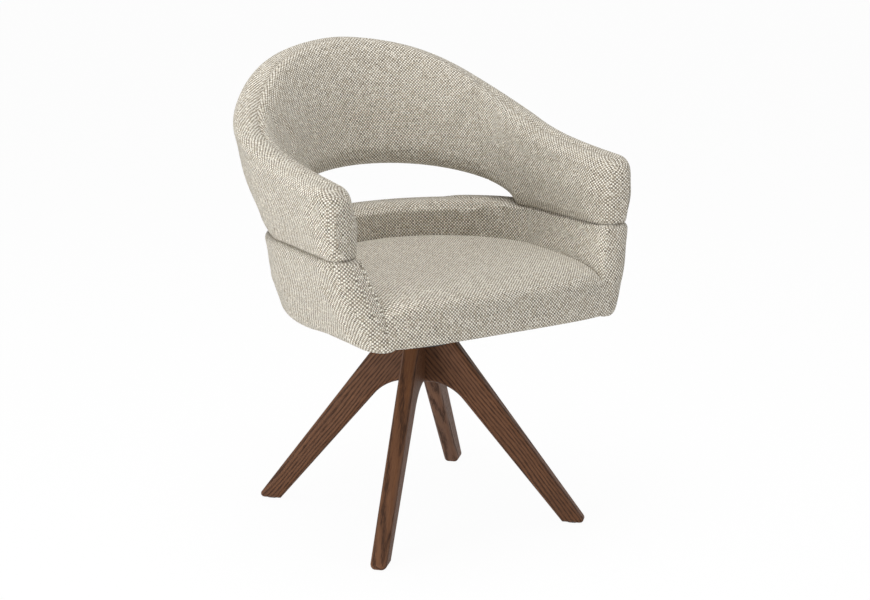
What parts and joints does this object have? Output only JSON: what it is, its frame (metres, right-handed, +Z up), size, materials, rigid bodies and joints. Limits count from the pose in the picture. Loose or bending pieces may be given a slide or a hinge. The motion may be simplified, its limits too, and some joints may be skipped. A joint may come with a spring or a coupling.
{
  "type": "swivel dining chair",
  "caption": "Upholstered tub chair with a curved back and arm band above an open slot, a low padded wall round the seat, and a swivelling cross base of splayed flat wooden legs.",
  "frame": {"origin": "on the floor, under the middle of the chair's width and depth", "axes": "+Z up, -Y the way the sitter faces, +X to the right seen from the front; the swivel axis is vertical at y = -0.015"},
  "size_m": [0.5988, 0.5688, 0.8075],
  "materials": {
    "leg_wood": "satin, walnut stain on open-grained wood",
    "dowel_wood": "bare beech",
    "plywood": "bare plywood",
    "upholstery": "coarse basket weave of cream, beige, taupe and dark yarns",
    "cover_cloth": "thin black cloth",
    "glide_plastic": "matte black",
    "black_steel": "black powder coat",
    "brass": "plain",
    "zinc_steel": "zinc plated"
  },
  "bodies": {
    "base": {"glide_back_left": "glide_plastic", "glide_back_right": "glide_plastic", "glide_front_left": "glide_plastic", "glide_front_right": "glide_plastic", "glide_nails": "zinc_steel", "housing_bushing": "brass", "housing_screws": "zinc_steel", "leg_back_left": "leg_wood", "leg_back_right": "leg_wood", "leg_dowels": "dowel_wood", "leg_front_left": "leg_wood", "leg_front_right": "leg_wood", "swivel_housing": "black_steel"},
    "cage": {"ball_cage": "brass", "bearing_balls": "zinc_steel"},
    "seat": {"arm_studs": "zinc_steel", "back_band": "upholstery", "back_frame": "plywood", "cover_staples": "zinc_steel", "dust_cover": "cover_cloth", "front_rail": "plywood", "lower_frame": "plywood", "lower_wrap": "upholstery", "pan_screws": "zinc_steel", "pivot_nut": "zinc_steel", "pivot_shaft": "zinc_steel", "pivot_washer": "zinc_steel", "seat_board": "plywood", "seat_cushion": "upholstery", "swivel_top_plate": "black_steel", "tee_nuts": "zinc_steel", "top_plate_bolts": "zinc_steel", "upper_race": "black_steel"}
  },
  "joints": [
    {"name": "seat_swivel", "type": "hinge", "parent": "base", "child": "seat", "pos_m": [0, -0.015, 0.358], "axis": [0, 0, 1], "continuous": true},
    {"name": "cage_spin", "type": "hinge", "parent": "base", "child": "cage", "pos_m": [0, -0.015, 0.358], "axis": [0, 0, 1], "continuous": true}
  ],
  "couplings": [
    {"joint": "cage_spin", "follows": "seat_swivel", "ratio": 0.5}
  ]
}
